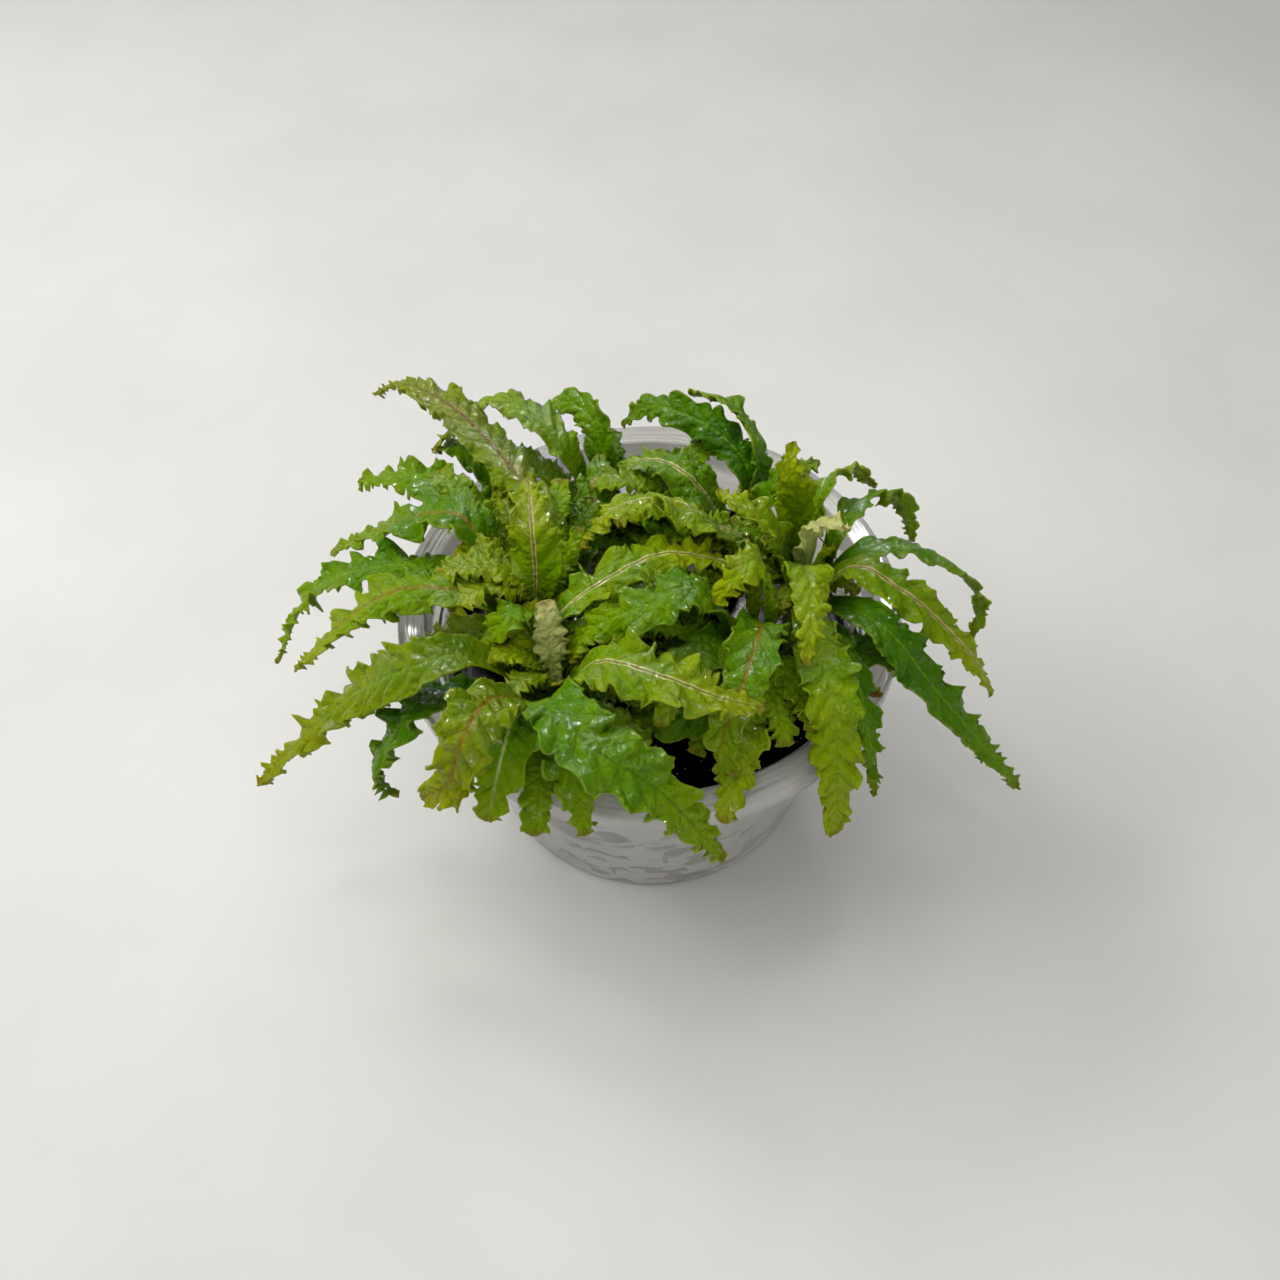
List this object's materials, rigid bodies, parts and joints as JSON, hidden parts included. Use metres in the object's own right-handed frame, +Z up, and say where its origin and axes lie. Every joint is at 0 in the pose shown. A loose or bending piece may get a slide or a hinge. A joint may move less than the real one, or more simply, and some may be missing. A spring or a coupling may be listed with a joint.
{
  "type": "downoi plant in a culture cup",
  "caption": "Small water plant with crisped, toothed leaves that arch out of black growing gel and hang over the rim of a clear round plastic cup.",
  "frame": {"origin": "centre of the cup's flat base, on its underside", "axes": "+Z up the cup's axis, +X to the right and -Y towards the viewer of the picture"},
  "size_m": [0.15, 0.1113, 0.092],
  "materials": {
    "clear_plastic": "clear, glossy",
    "black_gel": "wet",
    "stem_tissue": "moist plant tissue",
    "leaf_tissue_olive": "wet leaf",
    "leaf_tissue_yellow": "wet leaf",
    "leaf_tissue_mid": "wet leaf",
    "leaf_tissue_deep": "wet leaf",
    "leaf_tissue_pale": "wet leaf"
  },
  "bodies": {
    "root": {"back_leaf_01": "leaf_tissue_deep", "back_leaf_02": "leaf_tissue_deep", "back_leaf_03": "leaf_tissue_deep", "back_leaf_04": "leaf_tissue_mid", "back_leaf_05": "leaf_tissue_yellow", "back_stem": "stem_tissue", "cup": "clear_plastic", "front_leaf_01": "leaf_tissue_deep", "front_leaf_02": "leaf_tissue_mid", "front_leaf_03": "leaf_tissue_mid", "front_leaf_04": "leaf_tissue_pale", "front_leaf_05": "leaf_tissue_olive", "front_leaf_06": "leaf_tissue_mid", "front_leaf_07": "leaf_tissue_yellow", "front_stem": "stem_tissue", "growing_medium": "black_gel", "left_leaf_01": "leaf_tissue_deep", "left_leaf_02": "leaf_tissue_deep", "left_leaf_03": "leaf_tissue_mid", "left_leaf_04": "leaf_tissue_mid", "left_leaf_05": "leaf_tissue_mid", "left_leaf_06": "leaf_tissue_yellow", "left_leaf_07": "leaf_tissue_olive", "left_leaf_08": "leaf_tissue_olive", "left_leaf_09": "leaf_tissue_mid", "left_leaf_10": "leaf_tissue_yellow", "left_leaf_11": "leaf_tissue_yellow", "left_leaf_12": "leaf_tissue_yellow", "left_stem": "stem_tissue", "right_back_leaf_01": "leaf_tissue_mid", "right_back_leaf_02": "leaf_tissue_deep", "right_back_leaf_03": "leaf_tissue_mid", "right_back_leaf_04": "leaf_tissue_mid", "right_back_leaf_05": "leaf_tissue_mid", "right_back_leaf_06": "leaf_tissue_yellow", "right_back_stem": "stem_tissue", "right_front_leaf_01": "leaf_tissue_deep", "right_front_leaf_02": "leaf_tissue_mid", "right_front_leaf_03": "leaf_tissue_yellow", "right_front_leaf_04": "leaf_tissue_mid", "right_front_leaf_05": "leaf_tissue_mid", "right_front_leaf_06": "leaf_tissue_mid", "right_front_leaf_07": "leaf_tissue_mid", "right_front_leaf_08": "leaf_tissue_yellow", "right_front_stem": "stem_tissue", "right_leaf_01": "leaf_tissue_olive", "right_leaf_02": "leaf_tissue_deep", "right_leaf_03": "leaf_tissue_mid", "right_leaf_04": "leaf_tissue_yellow", "right_leaf_05": "leaf_tissue_yellow", "right_leaf_06": "leaf_tissue_deep", "right_leaf_07": "leaf_tissue_yellow", "right_leaf_08": "leaf_tissue_mid", "right_leaf_09": "leaf_tissue_olive", "right_leaf_10": "leaf_tissue_yellow", "right_leaf_11": "leaf_tissue_yellow", "right_leaf_12": "leaf_tissue_pale", "right_stem": "stem_tissue"}
  },
  "joints": []
}
